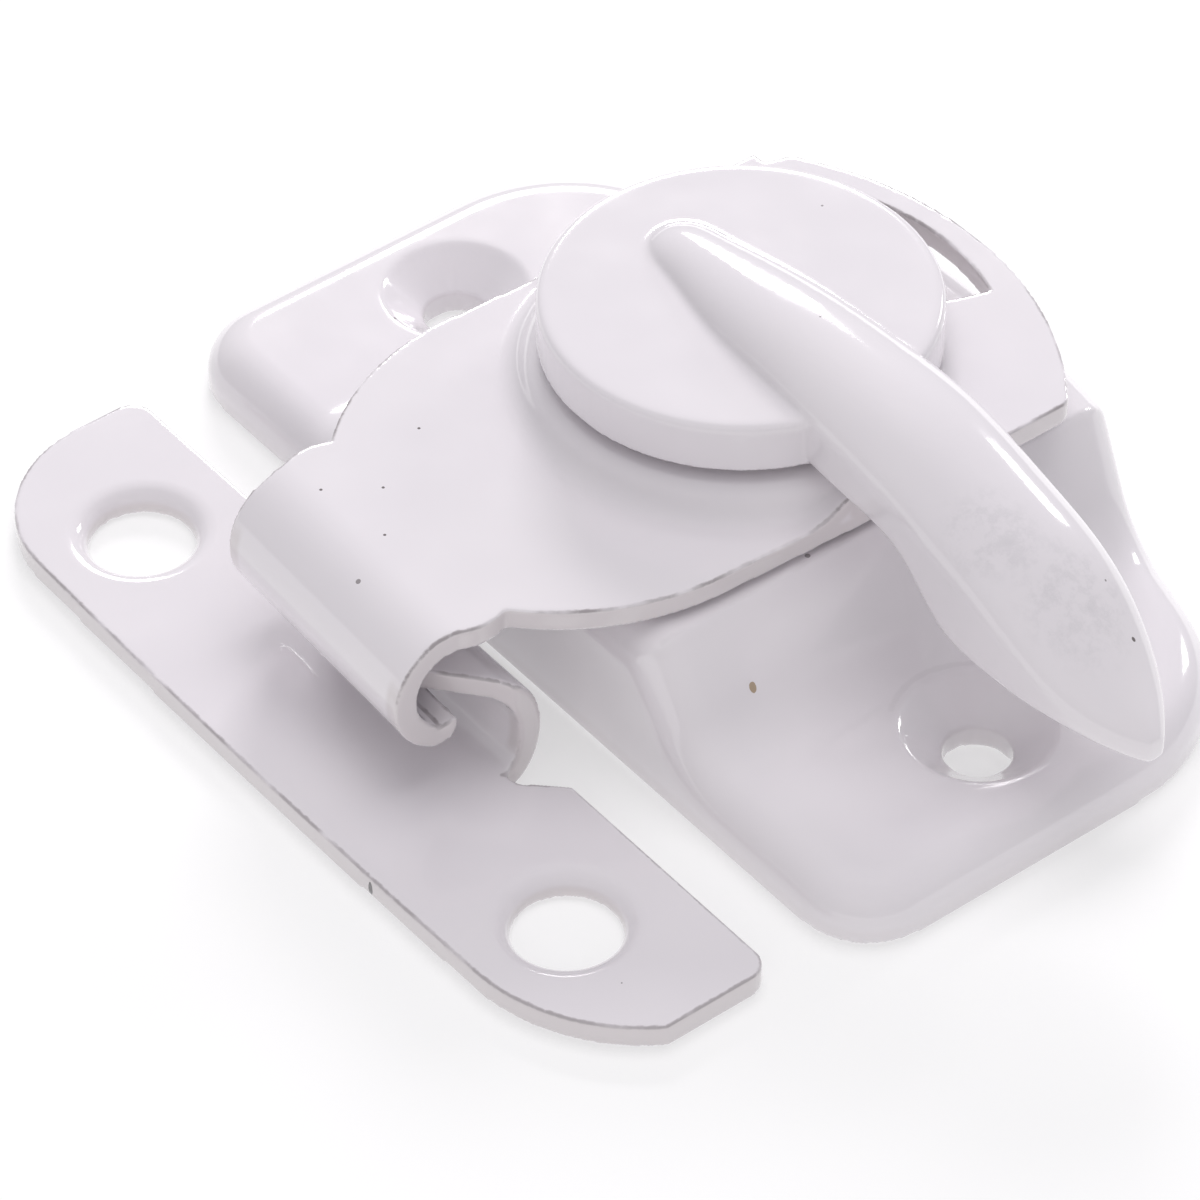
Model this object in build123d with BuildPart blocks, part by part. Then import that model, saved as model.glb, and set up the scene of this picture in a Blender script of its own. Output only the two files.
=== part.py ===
from build123d import *
import os
from math import cos, radians, sin

os.makedirs("parts", exist_ok=True)

# Sash lock with its keeper, drawn locked. Millimetres, Z up.
# The origin is midway between the two screw holes of the base, on the mounting plane.
# X runs along the meeting rail, -Y points at the keeper.

SHEET = 1.6                 # painted sheet of base, hook plate and keeper
PIVOT_Y = 2.5               # the pivot stands a little behind the screw line

# Base: a stamped hood with a raised bridge from front to back and a flat ear at each end
BASE_HALF_LENGTH = 34.6
BASE_FRONT = -16.6
BASE_BACK = 21.9            # middle of the bowed back edge
BASE_BACK_END = 14.6        # where that bow would reach the ends without its corners
FRONT_CORNER_R = 5.0
BACK_CORNER_R = 12.5
EAR_TOP = 3.8
BRIDGE_TOP = 11.3
BRIDGE_FOOT_X = 19.0        # where the bridge wall would meet the ear without its radius
BRIDGE_TOP_X = 14.6
FOOT_R = 5.0
SHOULDER_R = 7.0
EDGE_ROLL_R = 2.8
SCREW_X = 26.25
SCREW_R = 2.15
DIMPLE_R = 4.9              # mouth of the dished screw seat, without its rolled rim
DIMPLE_RIM_R = 2.0
DIMPLE_EDGE_R = 5.5         # where the seat joins the ear
DIMPLE_FOOT_R = 3.1         # ring of the seat that stands on the mounting plane

# Pivot stud: one shouldered steel stud that carries hook plate and lever on a square
STUD_R = 3.0
RUNNING_CLEARANCE = 0.06
COLLAR_R = 6.0
SQUARE = 5.2
SQUARE_CLEARANCE = 0.03
STUD_TOP = 18.2
PEEN_R = 4.7
PEEN_BOTTOM = 6.5
WASHER_BOTTOM = 7.7
WASHER_TOP = 8.7
WASHER_R = 7.0
SPRING_SHEET = 0.5
SPRING_IN_R = 3.4
SPRING_OUT_R = 7.6

# Hook plate
HOOK_TURN = -2.6            # the hook stands this far off square when locked
ARM_TOP = 13.3
SEAT_TOP = 15.2             # raised round seat under the hub, and the tail behind it
SEAT_R = 12.0               # the seat's flat top; from here it slopes down to the arm
SWAGE_R = 15.2
JOGGLE = 6.0                # length over which the sides step down from tail to arm
ARM_HALF_WIDTH = 14.7
ARM_STRAIGHT_END = -12.0    # measured from the pivot
NECK_HALF_WIDTH = 9.4
NECK_BULGE = (9.8, -26.0)   # the neck swells a little just past the shoulder
LIP_HALF_WIDTH = 9.2
NECK_START = -24.4
NECK_END = -27.8
LIP_Y = -32.3               # outermost face of the hooked lip, from the pivot
LIP_BEND_R = 4.6            # outer radius where the arm turns down
LIP_LEAN = (0.4, 7.0)       # middle of the sheet: in from that face, and height, at the curl
LIP_BOTTOM = 4.6
LIP_BOTTOM_Y = -29.6
LIP_END_Y = -28.8           # middle of the upturned end
LIP_END_TOP = 6.1           # middle of the sheet's end
TAIL_RIGHT = (16.1, 13.2)   # the tail's outer corners and the top of its arc
TAIL_TOP = (-0.5, 18.4)
TAIL_LEFT = (-13.2, 13.8)
TAIL_END_X = 16.5
SLOT_IN_R = 13.4
SLOT_OUT_R = 16.6
SLOT_START = 73.0
SLOT_END = 118.0

# Lever
HUB_R = 12.7
HUB_BOTTOM = 16.0
HUB_TOP = 19.6
HUB_EDGE_R = 0.5
HUB_BOSS_R = 8.0

# Keeper
KEEPER_HALF_LENGTH = 32.5
KEEPER_REAR = -21.2
KEEPER_FRONT = -35.6        # front edge at the middle, which bows out a little
KEEPER_BEND = (21.5, -35.3)  # where the front edge turns into the right end's wide arc
KEEPER_CUT_Y = -29.2        # where that arc is cut off by the end
KEEPER_LEFT_FRONT = -34.9   # the left end has a plain round corner instead
KEEPER_CORNER_R = 9.2
KEEPER_REAR_CORNER_R = 1.6
KEEPER_SCREW_X = 21.9
KEEPER_SCREW_Y = -28.4
KEEPER_SCREW_R = 3.4
KEEPER_LIP_R = 1.4          # the hole's rim is rolled in
TONGUE_HALF_WIDTH = 9.9
TONGUE_TIP_HALF_WIDTH = 5.0
TONGUE_BACK = -20.9         # rearmost face of the rounded riser
TONGUE_ROUND_Y = -23.9      # where the riser leaves the plate and where it turns level again
TONGUE_TAPER_Y = -22.9
TONGUE_TOP = 8.7
TONGUE_TIP = -27.0
RELIEF = 3.3                # width and depth of the notch beside the tongue's root
RELIEF_DEPTH = 2.5
RELIEF_CORNER_R = 0.9


def base_plan(inset):
    """Plan outline of the base, drawn in by the sheet for the hollow."""
    with BuildSketch(Plane.XY.offset(-2)) as plan:
        with BuildLine():
            Polyline(
                (-BASE_HALF_LENGTH, BASE_BACK_END), (-BASE_HALF_LENGTH, BASE_FRONT),
                (BASE_HALF_LENGTH, BASE_FRONT), (BASE_HALF_LENGTH, BASE_BACK_END),
            )
            ThreePointArc(
                (BASE_HALF_LENGTH, BASE_BACK_END), (0, BASE_BACK),
                (-BASE_HALF_LENGTH, BASE_BACK_END),
            )
        make_face()
        fillet(plan.vertices().group_by(Axis.Y)[0], FRONT_CORNER_R)
        fillet(plan.vertices().group_by(Axis.Y)[-1], BACK_CORNER_R)
        if inset:
            offset(amount=-inset)
    return plan.sketch


def base_profile(inset):
    """Ear, wall, bridge, wall, ear seen from the front, deep below the mounting plane."""
    reach = BASE_HALF_LENGTH + 10
    with BuildSketch(Plane.XZ.offset(-BASE_BACK - 10)) as profile:
        with BuildLine():
            Polyline(
                (-reach, -10), (reach, -10), (reach, EAR_TOP),
                (BRIDGE_FOOT_X, EAR_TOP), (BRIDGE_TOP_X, BRIDGE_TOP),
                (-BRIDGE_TOP_X, BRIDGE_TOP), (-BRIDGE_FOOT_X, EAR_TOP),
                (-reach, EAR_TOP), close=True,
            )
        make_face()
        feet = [v for v in profile.vertices() if abs(abs(v.X) - BRIDGE_FOOT_X) < 0.01]
        fillet(feet, FOOT_R)
        shoulders = [v for v in profile.vertices() if v.Z > BRIDGE_TOP - 0.01]
        fillet(shoulders, SHOULDER_R)
        if inset:
            offset(amount=-inset)
    return profile.sketch


def rolled_rim(edges, level):
    """Edges of the top outline: above the level and not running across the inside."""
    keep = []
    for edge in edges:
        middle = edge @ 0.5
        along_y = abs((edge % 0.5).Y) > 0.999
        inside = along_y and abs(middle.X) < BASE_HALF_LENGTH - 3
        if middle.Z > level - 0.01 and not inside:
            keep.append(edge)
    return keep


with BuildPart() as base_hollow:
    extrude(base_plan(SHEET), amount=20)
    extrude(base_profile(SHEET), amount=60, mode=Mode.INTERSECT)
    fillet(rolled_rim(base_hollow.edges(), EAR_TOP - SHEET), EDGE_ROLL_R - SHEET)

with BuildPart() as base:
    extrude(base_plan(0), amount=20)
    extrude(base_profile(0), amount=60, mode=Mode.INTERSECT)
    fillet(rolled_rim(base.edges(), EAR_TOP), EDGE_ROLL_R)
    add(base_hollow.part, mode=Mode.SUBTRACT)
    with BuildSketch(Plane.XY.offset(-3)):
        Rectangle(100, 100)
    extrude(amount=3, mode=Mode.SUBTRACT)
    with Locations((0, PIVOT_Y, 0)):
        Cylinder(STUD_R + RUNNING_CLEARANCE, 40, mode=Mode.SUBTRACT)
    # Dished screw seats, pressed down until they stand on the mounting plane
    with Locations((SCREW_X, 0, EAR_TOP), (-SCREW_X, 0, EAR_TOP)):
        Cylinder(DIMPLE_EDGE_R, 6, mode=Mode.SUBTRACT)
    for side in (1, -1):
        with BuildSketch(Plane.XZ) as seat:
            with BuildLine():
                Polyline(
                    (SCREW_R, 0), (DIMPLE_FOOT_R, 0), (DIMPLE_EDGE_R, EAR_TOP - SHEET),
                    (DIMPLE_EDGE_R, EAR_TOP), (DIMPLE_R, EAR_TOP), (SCREW_R, SHEET), close=True,
                )
            make_face()
            fillet(seat.vertices().sort_by_distance((DIMPLE_R, 0, EAR_TOP))[0], DIMPLE_RIM_R)
        revolve(
            seat.sketch.moved(Location((side * SCREW_X, 0, 0))),
            axis=Axis((side * SCREW_X, 0, 0), (0, 0, 1)),
        )

base.part.label = "base"
export_step(base.part, "parts/base.step")


def on_circle(radius, angle):
    """A point at this radius and angle round the pivot."""
    return (radius * cos(radians(angle)), radius * sin(radians(angle)))


def s_bend(start, end):
    """Two equal arcs from start to end, level at both ends."""
    middle = ((start[0] + end[0]) / 2, (start[1] + end[1]) / 2)
    level = (1, 0) if end[0] > start[0] else (-1, 0)
    first = TangentArc(start, middle, tangent=level)
    return [first, TangentArc(middle, end, tangent=first % 1)]


def swage(top):
    """Front half of a round boss with a flat top and an S-shaped slope down to the arm."""
    foot = top - (SEAT_TOP - ARM_TOP)
    with BuildPart() as boss:
        with BuildSketch(Plane.XZ):
            with BuildLine():
                s_bend((SEAT_R, top), (SWAGE_R, foot))
                Polyline(
                    (SWAGE_R, foot), (SWAGE_R, ARM_TOP - SHEET - 0.1),
                    (0, ARM_TOP - SHEET - 0.1), (0, top), (SEAT_R, top),
                )
            make_face()
        revolve(axis=Axis.Z)
        split(bisect_by=Plane.XZ, keep=Keep.TOP)
        with Locations((0, 0, ARM_TOP)):
            Box(2 * ARM_HALF_WIDTH, 4 * SWAGE_R, 4 * SHEET, mode=Mode.INTERSECT)
    return boss.part


# Hook plate, drawn about its own pivot and turned into place at the end.
# Its strip in the YZ plane: the flat arm, the bend down, the wall and the upturned end.
with BuildPart() as hook_plate:
    tail_z = SEAT_TOP - SHEET / 2
    arm_z = ARM_TOP - SHEET / 2
    wall_y = LIP_Y + SHEET / 2
    bend = LIP_BEND_R - SHEET / 2
    with BuildSketch(Plane.YZ):
        with BuildLine():
            Line((12, tail_z), (0, tail_z))
            s_bend((0, tail_z), (-JOGGLE, arm_z))
            Line((-JOGGLE, arm_z), (wall_y + bend, arm_z))
            over = RadiusArc((wall_y + bend, arm_z), (wall_y, arm_z - bend), -bend)
            wall = TangentArc(over @ 1, (wall_y + LIP_LEAN[0], LIP_LEAN[1]), tangent=(0, -1))
            curl = TangentArc(wall @ 1, (LIP_BOTTOM_Y, LIP_BOTTOM + SHEET / 2), tangent=wall % 1)
            TangentArc(curl @ 1, (LIP_END_Y, LIP_END_TOP), tangent=curl % 1)
        trace(line_width=SHEET)
    extrude(amount=20, both=True)
    # Plan of arm, shoulders and neck
    with BuildSketch(Plane.XY):
        with BuildLine():
            shoulder = (NECK_HALF_WIDTH, NECK_START)
            Line((0, 14), (ARM_HALF_WIDTH, 14))
            Line((ARM_HALF_WIDTH, 14), (ARM_HALF_WIDTH, ARM_STRAIGHT_END))
            TangentArc((ARM_HALF_WIDTH, ARM_STRAIGHT_END), shoulder, tangent=(0, -1))
            ThreePointArc(shoulder, NECK_BULGE, (NECK_HALF_WIDTH, NECK_END))
            Polyline(
                (NECK_HALF_WIDTH, NECK_END), (LIP_HALF_WIDTH, LIP_Y + 3),
                (LIP_HALF_WIDTH, LIP_Y - 2), (0, LIP_Y - 2),
            )
            mirror(about=Plane.YZ)
        make_face()
    extrude(amount=30, mode=Mode.INTERSECT)
    # Raised round seat, and the flat tail behind it at the same height
    add(swage(SEAT_TOP))
    with BuildSketch(Plane.XY.offset(SEAT_TOP - SHEET)) as tail_plan:
        with BuildLine():
            Polyline(TAIL_LEFT, (-ARM_HALF_WIDTH, 8), (-ARM_HALF_WIDTH, 0),
                     (ARM_HALF_WIDTH, 0), (TAIL_END_X, 3.0), TAIL_RIGHT)
            ThreePointArc(TAIL_RIGHT, TAIL_TOP, TAIL_LEFT)
        make_face()
        fillet([v for v in tail_plan.vertices() if v.Y > 10], 1.2)
    extrude(amount=SHEET)
    add(swage(SEAT_TOP - SHEET), mode=Mode.SUBTRACT)
    # Arc slot in the tail
    with BuildSketch(Plane.XY.offset(SEAT_TOP - 3)):
        with BuildLine():
            inner_a = on_circle(SLOT_IN_R, SLOT_START)
            inner_b = on_circle(SLOT_IN_R, SLOT_END)
            outer_a = on_circle(SLOT_OUT_R, SLOT_START)
            outer_b = on_circle(SLOT_OUT_R, SLOT_END)
            middle = (SLOT_START + SLOT_END) / 2
            ThreePointArc(inner_a, on_circle(SLOT_IN_R, middle), inner_b)
            Line(inner_b, outer_b)
            ThreePointArc(outer_b, on_circle(SLOT_OUT_R, middle), outer_a)
            Line(outer_a, inner_a)
        make_face()
    extrude(amount=6, mode=Mode.SUBTRACT)
    # Square hole that the stud drives
    with BuildSketch(Plane.XY.offset(ARM_TOP - 3)):
        Rectangle(SQUARE + SQUARE_CLEARANCE, SQUARE + SQUARE_CLEARANCE)
    extrude(amount=8, mode=Mode.SUBTRACT)

hook_plate.part = hook_plate.part.rotate(Axis.Z, HOOK_TURN).moved(Location((0, PIVOT_Y, 0)))
hook_plate.part.label = "hook_plate"
export_step(hook_plate.part, "parts/hook_plate.step")

# Lever sections: distance from the pivot, half width, ridge height, underside height,
# and the height of the domed top above the straight sides
LEVER_SECTIONS = [
    (-7.8, 1.3, 19.7, 17.0, 1.0),
    (-7.0, 2.1, 20.3, 17.0, 1.5),
    (-4.5, 2.7, 21.0, 17.0, 2.1),
    (0.0, 3.6, 21.7, 17.0, 2.9),
    (6.0, 4.2, 22.4, 16.6, 3.4),
    (12.0, 4.6, 22.5, 16.1, 3.6),
    (17.0, 4.8, 22.2, 15.9, 3.6),
    (20.5, 4.8, 21.5, 15.2, 3.6),
    (23.0, 4.8, 20.8, 13.2, 3.6),
    (25.0, 4.8, 20.2, 11.7, 3.6),
    (27.5, 4.8, 19.3, 11.2, 3.5),
    (31.0, 4.6, 17.4, 11.0, 3.2),
    (34.0, 3.9, 14.9, 10.6, 2.4),
    (36.5, 2.7, 12.9, 9.9, 1.6),
    (38.4, 1.3, 11.6, 9.3, 1.0),
    (39.2, 0.5, 10.9, 9.2, 0.5),
]
LEVER_CORNER_R = 0.8


def lever_section(along, half, top, bottom, dome):
    """Closed outline: flat bottom, rounded lower corners, straight sides, domed top."""
    r = min(LEVER_CORNER_R, 0.45 * half)
    d = r * (1 - cos(radians(45)))
    side = top - dome
    with BuildSketch(Plane.YZ.offset(along)) as section:
        with BuildLine():
            Line((-half + r, bottom), (half - r, bottom))
            ThreePointArc((half - r, bottom), (half - d, bottom + d), (half, bottom + r))
            Line((half, bottom + r), (half, side))
            EllipticalCenterArc((0, side), half, dome, start_angle=0, arc_size=180)
            Line((-half, side), (-half, bottom + r))
            ThreePointArc((-half, bottom + r), (-half + d, bottom + d), (-half + r, bottom))
        make_face()
    return section.sketch


with BuildPart() as lever:
    with Locations((0, 0, HUB_BOTTOM)):
        Cylinder(HUB_R, HUB_TOP - HUB_BOTTOM, align=(Align.CENTER, Align.CENTER, Align.MIN))
    fillet(lever.faces().sort_by(Axis.Z)[-1].edges(), HUB_EDGE_R)
    loft([lever_section(*row) for row in LEVER_SECTIONS])
    with Locations((0, 0, HUB_BOTTOM)):
        Cylinder(
            HUB_BOSS_R, HUB_BOTTOM - SEAT_TOP, align=(Align.CENTER, Align.CENTER, Align.MAX)
        )
    with BuildSketch(Plane.XY.offset(SEAT_TOP)):
        Rectangle(SQUARE + SQUARE_CLEARANCE, SQUARE + SQUARE_CLEARANCE, rotation=HOOK_TURN)
    extrude(amount=STUD_TOP - SEAT_TOP + 0.1, mode=Mode.SUBTRACT)

lever.part = lever.part.moved(Location((0, PIVOT_Y, 0)))
lever.part.label = "lever"
export_step(lever.part, "parts/lever.step")

with BuildPart() as pivot_stud:
    with BuildSketch(Plane.XZ):
        with BuildLine():
            Polyline(
                (0, PEEN_BOTTOM), (PEEN_R - 1.4, PEEN_BOTTOM), (PEEN_R, WASHER_BOTTOM - 0.4),
                (PEEN_R, WASHER_BOTTOM), (STUD_R, WASHER_BOTTOM), (STUD_R, BRIDGE_TOP),
                (COLLAR_R, BRIDGE_TOP), (COLLAR_R, SEAT_TOP - SHEET), (0, SEAT_TOP - SHEET),
                close=True,
            )
        make_face()
    revolve(axis=Axis.Z)
    with BuildSketch(Plane.XY.offset(SEAT_TOP - SHEET)):
        Rectangle(SQUARE, SQUARE, rotation=HOOK_TURN)
    extrude(amount=STUD_TOP - SEAT_TOP + SHEET)

pivot_stud.part = pivot_stud.part.moved(Location((0, PIVOT_Y, 0)))
pivot_stud.part.label = "pivot_stud"
export_step(pivot_stud.part, "parts/pivot_stud.step")

with BuildPart() as backing_washer:
    with Locations((0, PIVOT_Y, WASHER_BOTTOM)):
        Cylinder(WASHER_R, WASHER_TOP - WASHER_BOTTOM,
                 align=(Align.CENTER, Align.CENTER, Align.MIN))
        Cylinder(STUD_R + RUNNING_CLEARANCE, 10, mode=Mode.SUBTRACT)

backing_washer.part.label = "backing_washer"
export_step(backing_washer.part, "parts/backing_washer.step")

# Dished spring washer, its outer rim against the underside of the bridge
with BuildPart() as spring_washer:
    with BuildSketch(Plane.XZ):
        with BuildLine():
            rim_top = BRIDGE_TOP - SHEET
            Polyline(
                (SPRING_IN_R, WASHER_TOP), (SPRING_IN_R + 0.5, WASHER_TOP),
                (SPRING_OUT_R, rim_top - SPRING_SHEET), (SPRING_OUT_R, rim_top),
                (SPRING_OUT_R - 0.5, rim_top), (SPRING_IN_R, WASHER_TOP + SPRING_SHEET),
                close=True,
            )
        make_face()
    revolve(axis=Axis.Z)

spring_washer.part = spring_washer.part.moved(Location((0, PIVOT_Y, 0)))
spring_washer.part.label = "spring_washer"
export_step(spring_washer.part, "parts/spring_washer.step")

with BuildPart() as keeper:
    with BuildSketch() as keeper_plan:
        with BuildLine():
            cut = (KEEPER_HALF_LENGTH, KEEPER_CUT_Y)
            left_front = (-KEEPER_HALF_LENGTH, KEEPER_LEFT_FRONT)
            left_rear = (-KEEPER_HALF_LENGTH, KEEPER_REAR)
            TangentArc(KEEPER_BEND, cut, tangent=(1, 0))
            ThreePointArc(KEEPER_BEND, (0, KEEPER_FRONT), left_front)
            Polyline(left_front, left_rear, (KEEPER_HALF_LENGTH, KEEPER_REAR), cut)
        make_face()
        fillet(keeper_plan.vertices().group_by(Axis.Y)[-1], KEEPER_REAR_CORNER_R)
        fillet(keeper_plan.vertices().sort_by_distance(left_front)[0], KEEPER_CORNER_R)
        # The plate stops short of the tongue's root; a slanted relief each side
        with BuildLine():
            Polyline(
                (-TONGUE_HALF_WIDTH - RELIEF, KEEPER_REAR + 1),
                (-TONGUE_HALF_WIDTH - RELIEF, KEEPER_REAR),
                (-TONGUE_HALF_WIDTH - 1, KEEPER_REAR - RELIEF_DEPTH),
                (TONGUE_HALF_WIDTH + 1, KEEPER_REAR - RELIEF_DEPTH),
                (TONGUE_HALF_WIDTH + RELIEF, KEEPER_REAR),
                (TONGUE_HALF_WIDTH + RELIEF, KEEPER_REAR + 1), close=True,
            )
        make_face(mode=Mode.SUBTRACT)
        relief_corners = [v for v in keeper_plan.vertices()
                          if TONGUE_HALF_WIDTH < abs(v.X) < TONGUE_HALF_WIDTH + RELIEF + 0.1]
        fillet(relief_corners, RELIEF_CORNER_R)
    extrude(amount=SHEET)
    # Tongue strip in the YZ plane: out of the plate, round the back, and over to the front
    root_z = SHEET / 2
    over_z = TONGUE_TOP - SHEET / 2
    half_height = (over_z - root_z) / 2
    with BuildSketch(Plane.YZ):
        with BuildLine():
            Line((TONGUE_ROUND_Y - 1, root_z), (TONGUE_ROUND_Y, root_z))
            EllipticalCenterArc(
                (TONGUE_ROUND_Y, root_z + half_height),
                TONGUE_BACK - SHEET / 2 - TONGUE_ROUND_Y, half_height,
                start_angle=-90, arc_size=180,
            )
            Line((TONGUE_ROUND_Y, over_z), (TONGUE_TIP, over_z))
        trace(line_width=SHEET)
    extrude(amount=TONGUE_HALF_WIDTH, both=True)
    # Both sides of the tongue taper toward its tip
    for side in (1, -1):
        with BuildSketch(Plane.XY.offset(SHEET + 2)):
            with BuildLine():
                Polyline(
                    (side * TONGUE_HALF_WIDTH, TONGUE_TAPER_Y),
                    (side * TONGUE_TIP_HALF_WIDTH, TONGUE_TIP),
                    (side * TONGUE_TIP_HALF_WIDTH, TONGUE_TIP - 3),
                    (side * (TONGUE_HALF_WIDTH + 2), TONGUE_TIP - 3),
                    (side * (TONGUE_HALF_WIDTH + 2), TONGUE_TAPER_Y), close=True,
                )
            make_face()
        extrude(amount=12, mode=Mode.SUBTRACT)
    with Locations((KEEPER_SCREW_X, KEEPER_SCREW_Y), (-KEEPER_SCREW_X, KEEPER_SCREW_Y)):
        Cylinder(KEEPER_SCREW_R, 10, mode=Mode.SUBTRACT)
    rims = [e for e in keeper.edges().filter_by(GeomType.CIRCLE)
            if abs(e.radius - KEEPER_SCREW_R) < 0.01 and (e @ 0.5).Z > SHEET - 0.01]
    fillet(rims, KEEPER_LIP_R)

keeper.part.label = "keeper"
export_step(keeper.part, "parts/keeper.step")
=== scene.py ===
from math import radians

import bmesh
import bpy
import numpy as np
from mathutils import Matrix, Vector
from mathutils.kdtree import KDTree


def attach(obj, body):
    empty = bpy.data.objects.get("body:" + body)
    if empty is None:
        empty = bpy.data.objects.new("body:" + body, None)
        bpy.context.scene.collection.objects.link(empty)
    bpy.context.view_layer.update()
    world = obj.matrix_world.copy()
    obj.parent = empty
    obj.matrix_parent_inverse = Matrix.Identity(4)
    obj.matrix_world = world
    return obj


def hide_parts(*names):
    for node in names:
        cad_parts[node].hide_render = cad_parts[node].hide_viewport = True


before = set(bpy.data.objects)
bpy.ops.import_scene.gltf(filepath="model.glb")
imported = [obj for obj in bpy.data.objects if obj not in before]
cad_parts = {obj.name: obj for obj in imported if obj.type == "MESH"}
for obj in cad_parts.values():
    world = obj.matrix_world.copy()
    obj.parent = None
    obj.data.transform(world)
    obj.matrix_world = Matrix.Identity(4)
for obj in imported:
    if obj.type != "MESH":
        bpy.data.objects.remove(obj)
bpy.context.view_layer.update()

# Looks of the white sash lock and its keeper. Metres, in the frame of the CAD parts:
# X along the rail, -Y toward the keeper, +Z up. The four painted pieces are remeshed from
# their CAD shapes, so that every sheared edge and corner is softened as thick paint does.

MM = 0.001

# Painted skins: CAD node, piece, body, voxel (mm), smoothing rounds
SKINS = [
    ("base", "base_skin", "fixed", 0.20, 9),
    ("keeper", "keeper_skin", "fixed", 0.16, 7),
    ("hook_plate", "hook_skin", "turning", 0.16, 7),
    ("lever", "lever_skin", "turning", 0.17, 9),
]
CONCAVE_ROUNDS = 90        # extra smoothing that turns an inside corner into a cast blend
SHARP_TURN = radians(50)    # a CAD edge that turns more than this was sheared or cast sharp

# Camera: fixed by matching the outlines of the parts
CAMERA_PLACE = (0.23602, -0.19252, 0.27869)
CAMERA_RIGHT = (0.61798, 0.78617, -0.00472)
CAMERA_UP = (-0.53362, 0.42384, 0.73185)
CAMERA_LENS = 195.0

SKY_COLOUR = (0.97, 0.965, 1.0, 1.0)
SKY_STRENGTH = 0.47
FLOOR_TONE = 0.55
FLOOR_GLOW = 0.45
FLOOR_DROP = 0.0002         # below the parts

# Soft boxes: name, direction from the parts, size, power, colour, mirrored in the gloss
LIGHT_DISTANCE = 0.7
SOFT_BOXES = [
    ("key", (-0.74, 0.56, 0.48), (0.22, 0.16), 2.2, (1.0, 0.975, 0.99), True),
    ("back", (-0.15, 0.92, 0.42), (0.12, 0.12), 0.5, (1.0, 0.98, 1.0), True),
    ("overhead", (-0.10, 0.15, 1.00), (0.50, 0.50), 1.9, (1.0, 0.98, 1.0), False),
    ("front", (0.55, -0.70, 0.45), (0.60, 0.40), 0.7, (1.0, 0.95, 0.93), False),
]

# Colours, linear
PAINT = (0.80, 0.768, 0.80)
PAINT_THICK = (0.82, 0.788, 0.815)
PAINT_SHEARED = (0.66, 0.615, 0.62)
PAINT_THIN = (0.36, 0.33, 0.34)
BARE_EDGE = (0.075, 0.07, 0.075)
SPECK = (0.16, 0.14, 0.14)
CHIP_BROWN = (0.42, 0.32, 0.22)
RUB_GREY = (0.40, 0.40, 0.42)

# Paint film, lengths in millimetres
PAINT_ROUGHNESS = (0.10, 0.17)
COAT_ROUGHNESS = 0.03
SHEARED_REACH = 1.4         # sheared faces lie within this of their edges
SHEARED_FULL = 0.8
LINE_WIDTH = 0.16           # dark line along a sheared edge
LINE_WAVER = 0.22
RUB_SHARE = 0.22
RUB_DULLING = 0.2

# Dark specks in the hook plate's paint, millimetres from the origin
HOOK_SPECKS = [(-7.2, -24.6), (-8.0, -16.5), (-5.0, -21.5), (-1.5, -24.0)]


# ---------------------------------------------------------------- meshes

def evaluated_mesh(piece):
    """The piece's mesh with its modifiers applied."""
    graph = bpy.context.evaluated_depsgraph_get()
    return bpy.data.meshes.new_from_object(piece.evaluated_get(graph))


def swap_mesh(piece, mesh):
    """Gives the piece this mesh and no modifiers."""
    piece.modifiers.clear()
    piece.data = mesh


def vertex_array(mesh, field):
    values = np.zeros(len(mesh.vertices) * 3, np.float32)
    mesh.vertices.foreach_get(field, values)
    return values.reshape(-1, 3)


def edge_pairs(mesh):
    pairs = np.zeros(len(mesh.edges) * 2, np.int32)
    mesh.edges.foreach_get("vertices", pairs)
    return pairs.reshape(-1, 2)


def spread(values, pairs, rounds):
    """Averages a value per vertex with its neighbours, this many times."""
    count = np.bincount(pairs.ravel(), minlength=len(values)).clip(1)
    for _ in range(rounds):
        total = np.bincount(pairs[:, 0], values[pairs[:, 1]], len(values))
        total += np.bincount(pairs[:, 1], values[pairs[:, 0]], len(values))
        values = 0.5 * values + 0.5 * total / count
    return values


def bulge(mesh):
    """Convexity per vertex: positive on outside edges, negative in inside corners."""
    place, normal = vertex_array(mesh, "co"), vertex_array(mesh, "normal")
    pairs = edge_pairs(mesh)
    a, b = pairs[:, 0], pairs[:, 1]
    way = place[b] - place[a]
    way /= np.linalg.norm(way, axis=1)[:, None] + 1e-12
    turn_a = -np.einsum("ij,ij->i", way, normal[a])
    turn_b = np.einsum("ij,ij->i", way, normal[b])
    total = np.bincount(a, turn_a, len(place)) + np.bincount(b, turn_b, len(place))
    count = np.bincount(pairs.ravel(), minlength=len(place)).clip(1)
    return total / count


def smooth(piece, rounds, group=None):
    """Plain smoothing, kept to a vertex group if one is named."""
    step = piece.modifiers.new("smooth", "SMOOTH")
    step.factor, step.iterations = 0.5, rounds
    if group:
        step.vertex_group = group
    swap_mesh(piece, evaluated_mesh(piece))


def skin(node, name, body, voxel, rounds):
    """A fine, even mesh of a CAD node with softened edges, worked in millimetres."""
    piece = bpy.data.objects.new(name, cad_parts[node].data.copy())
    bpy.context.scene.collection.objects.link(piece)
    piece.data.materials.clear()
    piece.data.transform(Matrix.Scale(1 / MM, 4))
    remesh = piece.modifiers.new("remesh", "REMESH")
    remesh.mode, remesh.voxel_size, remesh.adaptivity = "VOXEL", voxel, 0.0
    swap_mesh(piece, evaluated_mesh(piece))
    smooth(piece, rounds)
    return piece


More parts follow.
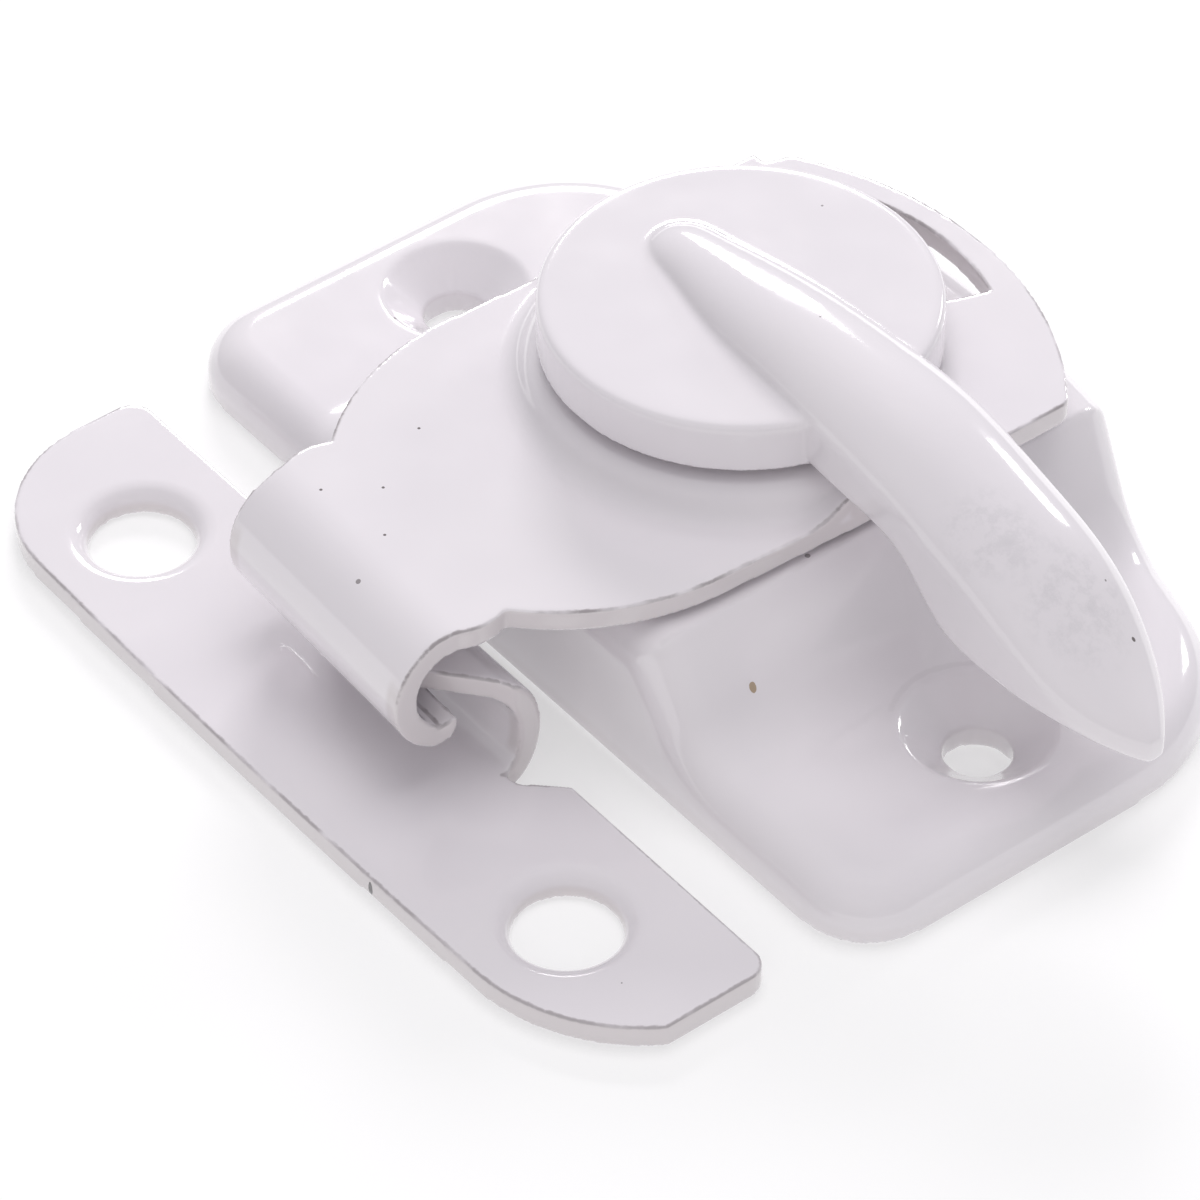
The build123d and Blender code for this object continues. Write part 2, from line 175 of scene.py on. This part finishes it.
def blend_inside_corners(piece, rounds):
    """Rounds off the inside corners only, like the fillets of a casting."""
    depth = -bulge(piece.data)
    corner = spread((depth > 0.10).astype(float), edge_pairs(piece.data), 6)
    weight = np.clip(corner * 3.0, 0, 1)
    group = piece.vertex_groups.new(name="inside")
    for level in np.linspace(0.1, 1.0, 10):
        near = np.nonzero(np.abs(weight - level) <= 0.05)[0]
        group.add([int(i) for i in near], float(level), "REPLACE")
    smooth(piece, rounds, "inside")
    piece.vertex_groups.clear()


def sharp_points(node, spacing):
    """Points every so many millimetres along the sharp outside edges of a CAD node."""
    shape = bmesh.new()
    shape.from_mesh(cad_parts[node].data)
    bmesh.ops.scale(shape, vec=(1 / MM,) * 3, verts=shape.verts)
    bmesh.ops.remove_doubles(shape, verts=shape.verts, dist=0.002)
    points = []
    for edge in shape.edges:
        if len(edge.link_faces) == 2 and edge.calc_face_angle_signed(0.0) > SHARP_TURN:
            a, b = (v.co for v in edge.verts)
            steps = max(1, int((b - a).length / spacing))
            points += [a.lerp(b, k / steps) for k in range(steps + 1)]
    shape.free()
    return points


def mark_edges(piece, node):
    """Stores each vertex's distance to the nearest sharp edge, for the paint there."""
    points = sharp_points(node, 0.1)
    tree = KDTree(len(points))
    for index, point in enumerate(points):
        tree.insert(point, index)
    tree.balance()
    near = [tree.find(v.co)[2] for v in piece.data.vertices]
    layer = piece.data.attributes.new("edge", "FLOAT", "POINT")
    layer.data.foreach_set("value", near)


def painted_pieces():
    """The four painted pieces, each riding on its CAD body in place of its CAD node."""
    made = {}
    for node, name, body, voxel, rounds in SKINS:
        piece = skin(node, name, body, voxel, rounds)
        if node == "lever":
            blend_inside_corners(piece, CONCAVE_ROUNDS)
        mark_edges(piece, node)
        piece.data.transform(Matrix.Scale(MM, 4))
        piece.data.polygons.foreach_set("use_smooth", [True] * len(piece.data.polygons))
        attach(piece, body)
        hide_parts(node)
        made[node] = piece
    return made


# ---------------------------------------------------------------- materials

class Nodes:
    """A node tree under construction, with short calls for the nodes used here."""

    def __init__(self, name):
        self.material = bpy.data.materials.new(name)
        self.material.use_nodes = True
        self.tree = self.material.node_tree
        self.shader = self.tree.nodes["Principled BSDF"]
        self.point = self.add("ShaderNodeTexCoord").outputs["Object"]

    def add(self, kind, **sockets):
        node = self.tree.nodes.new(kind)
        for name, value in sockets.items():
            self.set(node.inputs[name.replace("_", " ")], value)
        return node

    def set(self, socket, value):
        if isinstance(value, bpy.types.NodeSocket):
            self.tree.links.new(value, socket)
        elif isinstance(value, tuple) and len(value) == 3 and socket.type == "RGBA":
            socket.default_value = (*value, 1.0)
        else:
            socket.default_value = value

    def noise(self, scale, detail=2.0, rough=0.5):
        """Noise whose scale is given in bumps per millimetre."""
        made = self.add("ShaderNodeTexNoise", Vector=self.point, Scale=scale / MM,
                        Detail=detail, Roughness=rough)
        return made.outputs["Fac"]

    def window(self, value, low, high):
        """0 below low, 1 above high, smooth between; low may be above high."""
        made = self.add("ShaderNodeMapRange", Value=value)
        made.interpolation_type = "SMOOTHSTEP"
        flip = low > high
        self.set(made.inputs["From Min"], high if flip else low)
        self.set(made.inputs["From Max"], low if flip else high)
        self.set(made.inputs["To Min"], 1.0 if flip else 0.0)
        self.set(made.inputs["To Max"], 0.0 if flip else 1.0)
        return made.outputs["Result"]

    def between(self, value, low, high):
        """A value from 0 to 1 laid out from low to high."""
        made = self.add("ShaderNodeMapRange", Value=value)
        made.inputs["To Min"].default_value = low
        made.inputs["To Max"].default_value = high
        return made.outputs["Result"]

    def math(self, operation, a, b=0.0):
        made = self.add("ShaderNodeMath")
        made.operation = operation
        self.set(made.inputs[0], a)
        self.set(made.inputs[1], b)
        return made.outputs["Value"]

    def mix(self, factor, a, b):
        made = self.add("ShaderNodeMix")
        made.data_type = "RGBA"
        self.set(made.inputs["Factor"], factor)
        self.set(made.inputs[6], a)
        self.set(made.inputs[7], b)
        return made.outputs[2]

    def near(self, centre, radii):
        """1 at a place in millimetres, falling to 0 at its radii."""
        shift = self.add("ShaderNodeVectorMath")
        shift.operation = "SUBTRACT"
        self.set(shift.inputs[0], self.point)
        shift.inputs[1].default_value = [c * MM for c in centre]
        shape = self.add("ShaderNodeVectorMath")
        shape.operation = "DIVIDE"
        self.set(shape.inputs[0], shift.outputs["Vector"])
        shape.inputs[1].default_value = [r * MM for r in radii]
        length = self.add("ShaderNodeVectorMath")
        length.operation = "LENGTH"
        self.set(length.inputs[0], shape.outputs["Vector"])
        return self.window(length.outputs["Value"], 1.0, 0.35)

    def specks(self, spacing, share, size):
        """Small round specks: one cell in so many holds one. Lengths in millimetres."""
        cells = self.add("ShaderNodeTexVoronoi", Vector=self.point, Scale=1 / (spacing * MM))
        pick = self.add("ShaderNodeSeparateColor", Color=cells.outputs["Color"])
        chosen = self.math("LESS_THAN", pick.outputs["Red"], share)
        grow = self.math("MULTIPLY", pick.outputs["Green"], size / spacing)
        dot = self.math("LESS_THAN", cells.outputs["Distance"], grow)
        return self.math("MULTIPLY", dot, chosen)


def upward(n):
    """How far the surface looks up: 1 on top, 0 on walls, -1 underneath."""
    geometry = n.add("ShaderNodeNewGeometry")
    way = n.add("ShaderNodeSeparateXYZ", Vector=geometry.outputs["Normal"])
    return way.outputs["Z"]


def sheared_faces(n, tone, edge, share):
    """Walls that were sheared, greyer because the paint is thin there."""
    wall = n.window(n.math("ABSOLUTE", upward(n)), 0.55, 0.25)
    sheared = n.math("MULTIPLY", wall, n.window(edge, SHEARED_REACH, SHEARED_FULL))
    return n.mix(n.math("MULTIPLY", sheared, share), tone, PAINT_SHEARED)


def edge_line(n, tone, edge, worn):
    """A thin broken dark line along sheared edges, not seen from underneath."""
    broken = n.window(n.noise(0.16, 3.0, 0.6), 0.36, 0.56)
    uneven = n.math("MULTIPLY", n.noise(2.2, 3.0), LINE_WAVER)
    line = n.window(n.math("SUBTRACT", edge, uneven), LINE_WIDTH, 0.0)
    seen = n.math("MULTIPLY", broken, n.window(upward(n), 0.05, 0.45))
    line = n.math("MULTIPLY", line, seen)
    return n.mix(n.math("MULTIPLY", line, worn), tone, PAINT_THIN)


def rub_mark(n, tone, gloss, centre, radii):
    """A cloudy grey patch where the film has been rubbed dull."""
    cloudy = n.window(n.noise(0.8, 5.0, 0.7), 0.42, 0.68)
    rub = n.math("MULTIPLY", n.near(centre, radii), cloudy)
    tone = n.mix(n.math("MULTIPLY", rub, RUB_SHARE), tone, RUB_GREY)
    return tone, n.math("ADD", gloss, n.math("MULTIPLY", rub, RUB_DULLING))


def chip(n, tone, centre, radii, colour):
    """A small ragged spot where the paint is off or dirty."""
    ragged = n.math("ADD", n.near(centre, radii), n.math("MULTIPLY", n.noise(2.5), 0.6))
    return n.mix(n.window(ragged, 0.75, 0.95), tone, colour)


def orange_peel(n):
    """Normal of the paint film: shallow waves with a finer grain on them."""
    peel = n.add("ShaderNodeBump", Strength=0.10, Distance=0.02 * MM,
                 Height=n.noise(0.55, 2.0, 0.4))
    fine = n.add("ShaderNodeBump", Strength=0.05, Distance=0.01 * MM,
                 Height=n.noise(3.0, 2.0), Normal=peel.outputs["Normal"])
    return fine.outputs["Normal"]


def gloss_paint(name, worn=1.0, sheared=0.7, rubs=(), chips=()):
    """Gloss white paint over steel: faint mottling and orange peel, specks of dirt in the
    film, thin dark paint along sheared edges, grey rub marks and chips at given places."""
    n = Nodes(name)
    edge = n.add("ShaderNodeAttribute")
    edge.attribute_name = "edge"
    tone = n.mix(n.window(n.noise(0.06, 3.0), 0.35, 0.7), PAINT, PAINT_THICK)
    tone = sheared_faces(n, tone, edge.outputs["Fac"], sheared)
    tone = edge_line(n, tone, edge.outputs["Fac"], worn)
    tone = n.mix(n.math("MULTIPLY", n.specks(3.4, 0.25, 0.20), 0.75), tone, SPECK)
    gloss = n.between(n.window(n.noise(0.25, 3.0), 0.2, 0.9), *PAINT_ROUGHNESS)
    for centre, radii in rubs:
        tone, gloss = rub_mark(n, tone, gloss, centre, radii)
    for centre, radii, colour in chips:
        tone = chip(n, tone, centre, radii, colour)
    n.set(n.shader.inputs["Base Color"], tone)
    n.set(n.shader.inputs["Roughness"], gloss)
    n.set(n.shader.inputs["Normal"], orange_peel(n))
    n.shader.inputs["Coat Weight"].default_value = 1.0
    n.shader.inputs["Coat Roughness"].default_value = COAT_ROUGHNESS
    return n.material


def turned_steel(name, colour, roughness):
    """Bare or plated steel with fine turning rings about the pivot and a few stains."""
    n = Nodes(name)
    stain = n.window(n.noise(0.5, 4.0, 0.6), 0.35, 0.75)
    darker = tuple(0.6 * c for c in colour)
    n.set(n.shader.inputs["Base Color"], n.mix(stain, colour, darker))
    rough = n.between(n.noise(1.5, 3.0), roughness - 0.08, roughness + 0.12)
    n.set(n.shader.inputs["Roughness"], rough)
    n.shader.inputs["Metallic"].default_value = 1.0
    rings = n.add("ShaderNodeTexWave", Vector=n.point, Scale=1.1 / MM, Distortion=0.4)
    rings.wave_type, rings.rings_direction = "RINGS", "Z"
    bump = n.add("ShaderNodeBump", Strength=0.12, Distance=0.02 * MM,
                 Height=rings.outputs["Fac"])
    n.set(n.shader.inputs["Normal"], bump.outputs["Normal"])
    return n.material


def dress(piece, material):
    piece.data.materials.clear()
    piece.data.materials.append(material)


def dress_all(made):
    """Each painted piece gets its own paint, with the marks that it alone carries."""
    dress(made["base"], gloss_paint(
        "base_gloss", worn=0.1, sheared=0.2,
        chips=[((17.3, -10.5, 6.5), (0.40, 0.40, 0.75), CHIP_BROWN)],
    ))
    dress(made["hook_plate"], gloss_paint(
        "hook_gloss",
        chips=[((x, y, 13.3), (0.15, 0.15, 0.5), SPECK) for x, y in HOOK_SPECKS],
    ))
    dress(made["lever"], gloss_paint(
        "lever_gloss", worn=0.1, sheared=0.0,
        rubs=[((31, 2.5, 16), (6, 4.5, 5)), ((26, 0.5, 19), (4, 3.5, 4))],
        chips=[((34.3, 4.7, 14.2), (0.20, 0.20, 0.5), SPECK)],
    ))
    dress(made["keeper"], gloss_paint(
        "keeper_gloss", worn=0.8,
        chips=[((11.9, -35.5, 0.7), (0.3, 0.6, 0.8), BARE_EDGE)],
    ))
    steels = {
        "pivot_stud": turned_steel("stud_bare", (0.62, 0.61, 0.58), 0.32),
        "backing_washer": turned_steel("washer_zinc", (0.66, 0.66, 0.64), 0.30),
        "spring_washer": turned_steel("spring_dark", (0.34, 0.33, 0.32), 0.38),
    }
    for node, steel in steels.items():
        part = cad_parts[node]
        for slot in part.material_slots:
            slot.material = steel


# ---------------------------------------------------------------- studio

def floor():
    """A plain pale floor just below the parts, glowing a little like a backlit sweep."""
    bpy.ops.mesh.primitive_plane_add(size=6.0, location=(0, 0, -FLOOR_DROP))
    plane = bpy.context.object
    plane.name = "floor"
    n = Nodes("floor_white")
    n.shader.inputs["Base Color"].default_value = (*[FLOOR_TONE] * 3, 1.0)
    n.shader.inputs["Emission Color"].default_value = (1.0, 1.0, 1.0, 1.0)
    n.shader.inputs["Emission Strength"].default_value = FLOOR_GLOW
    n.shader.inputs["Roughness"].default_value = 0.9
    n.shader.inputs["Specular IOR Level"].default_value = 0.1
    plane.data.materials.append(n.material)


def area_light(name, place, aim, size, power, colour, mirrored):
    lamp = bpy.data.lights.new(name, "AREA")
    lamp.shape, lamp.size, lamp.size_y = "RECTANGLE", size[0], size[1]
    lamp.energy, lamp.color = power, colour
    lit = bpy.data.objects.new(name, lamp)
    bpy.context.scene.collection.objects.link(lit)
    lit.visible_glossy = mirrored
    lit.location = place
    lit.rotation_euler = (Vector(aim) - Vector(place)).to_track_quat("-Z", "Y").to_euler()


def studio():
    """A pale room, a low soft box behind the left end, one behind, one above, a front fill."""
    scene = bpy.context.scene
    scene.view_settings.view_transform = "Standard"
    scene.world = bpy.data.worlds.new("room")
    scene.world.use_nodes = True
    sky = scene.world.node_tree.nodes["Background"]
    sky.inputs["Color"].default_value = SKY_COLOUR
    sky.inputs["Strength"].default_value = SKY_STRENGTH
    middle = Vector((0, 0, 0.01))
    for name, toward, size, power, colour, mirrored in SOFT_BOXES:
        place = middle + Vector(toward).normalized() * LIGHT_DISTANCE
        area_light(name, place, middle, size, power, colour, mirrored)


def camera():
    lens = bpy.data.cameras.new("camera")
    lens.lens, lens.sensor_width = CAMERA_LENS, 36.0
    lens.clip_start, lens.clip_end = 0.01, 20.0
    view = bpy.data.objects.new("camera", lens)
    bpy.context.scene.collection.objects.link(view)
    right, up = Vector(CAMERA_RIGHT), Vector(CAMERA_UP)
    turn = Matrix((right, up, right.cross(up))).transposed()
    view.matrix_world = Matrix.Translation(CAMERA_PLACE) @ turn.to_4x4()
    bpy.context.scene.camera = view


dress_all(painted_pieces())
floor()
studio()
camera()
